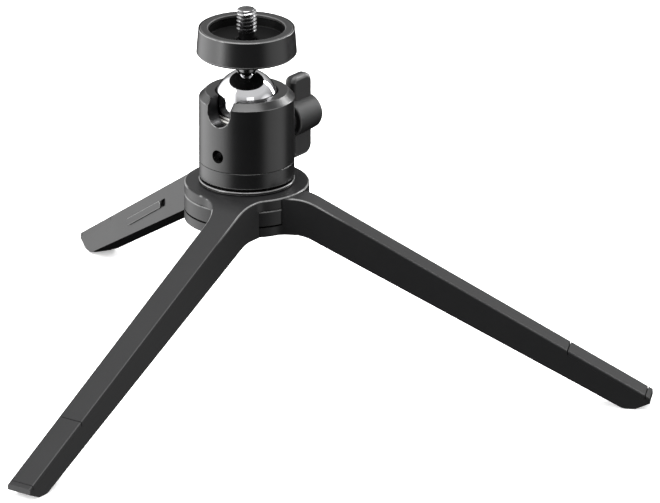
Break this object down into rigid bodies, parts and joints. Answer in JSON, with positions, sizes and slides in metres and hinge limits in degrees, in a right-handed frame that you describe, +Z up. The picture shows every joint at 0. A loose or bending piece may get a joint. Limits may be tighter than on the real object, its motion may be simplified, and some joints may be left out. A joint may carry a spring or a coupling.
{
  "type": "mini tripod with ball head",
  "caption": "Small table-top tripod: flat legs fold side by side on one upright bolt under a locking ball head with a camera screw.",
  "frame": {"origin": "on the table, under the centre of the tripod's bounding box", "axes": "+Z up, along the camera screw at rest; -Y along the front leg; the wing knob points to +Y"},
  "size_m": [0.234, 0.198, 0.1228],
  "materials": {
    "leg_plastic": "fine-grained satin black plastic",
    "knob_plastic": "matt black plastic",
    "black_metal": "satin black anodised metal",
    "rubber": "matt black rubber",
    "steel": "bright turned steel",
    "chrome_ball": "polished",
    "brass": "turned",
    "nylon": "natural"
  },
  "bodies": {
    "back_leg": {"leg_back": "leg_plastic", "toe_cover_back": "leg_plastic", "foot_pad_back": "rubber", "centre_bolt": "steel", "bolt_washer": "steel", "upper_friction_washer": "nylon", "lower_friction_washer": "nylon", "seat_ring": "black_metal", "head_base": "black_metal", "pan_washer": "nylon", "pan_ring_nut": "steel"},
    "front_leg": {"leg_front": "leg_plastic", "toe_cover_front": "leg_plastic", "foot_pad_front": "rubber"},
    "right_leg": {"leg_right": "leg_plastic", "toe_cover_right": "leg_plastic", "foot_pad_right": "rubber"},
    "head": {"housing": "black_metal"},
    "seat": {"lift_piston": "steel", "disc_spring": "steel", "ball_cup": "nylon"},
    "clamp": {"pressure_pad": "brass"},
    "knob": {"wing_knob": "knob_plastic", "lock_screw": "steel", "knob_collar": "knob_plastic"},
    "ball_tilting": {"ball": "chrome_ball"},
    "stem": {"camera_stud": "steel"},
    "disc_travel": {"grip_ring": "rubber"},
    "disc": {"lock_disc": "black_metal"}
  },
  "joints": [
    {"name": "front_leg_swing", "type": "hinge", "parent": "back_leg", "child": "front_leg", "pos_m": [-0.00269, 0.03055, 0.06374], "axis": [0, 0, 1], "range_deg": [-120, 0]},
    {"name": "right_leg_swing", "type": "hinge", "parent": "back_leg", "child": "right_leg", "pos_m": [-0.00269, 0.03055, 0.05479], "axis": [0, 0, 1], "range_deg": [0, 120]},
    {"name": "head_pan", "type": "hinge", "parent": "back_leg", "child": "head", "pos_m": [-0.00269, 0.03055, 0.07249], "axis": [0, 0, 1], "continuous": true},
    {"name": "ball_tilt", "type": "hinge", "parent": "head", "child": "ball_tilting", "pos_m": [-0.00269, 0.03055, 0.09239], "axis": [1, 0, 0], "range_deg": [-38, 90]},
    {"name": "ball_spin", "type": "hinge", "parent": "ball_tilting", "child": "stem", "pos_m": [-0.00269, 0.03055, 0.09239], "axis": [0, 0, 1], "continuous": true},
    {"name": "lock_disc_travel", "type": "slide", "parent": "stem", "child": "disc_travel", "axis": [0, 0, 1], "range_m": [0, 0.00127]},
    {"name": "lock_disc_turn", "type": "hinge", "parent": "disc_travel", "child": "disc", "pos_m": [-0.00269, 0.03055, 0.1121], "axis": [0, 0, 1], "range_deg": [0, 361]},
    {"name": "clamp_travel", "type": "slide", "parent": "head", "child": "clamp", "axis": [0, 1, 0], "range_m": [0, 0.0008]},
    {"name": "knob_turn", "type": "hinge", "parent": "clamp", "child": "knob", "pos_m": [-0.00269, 0.05615, 0.07989], "axis": [0, 1, 0], "range_deg": [0, 361]},
    {"name": "seat_drop", "type": "slide", "parent": "head", "child": "seat", "axis": [0, 0, -1], "range_m": [0, 0.00021]}
  ],
  "couplings": [
    {"joint": "lock_disc_turn", "follows": "lock_disc_travel", "rad_per_m": 4947.4},
    {"joint": "knob_turn", "follows": "clamp_travel", "rad_per_m": 7854},
    {"joint": "seat_drop", "follows": "clamp_travel", "ratio": 0.25}
  ]
}
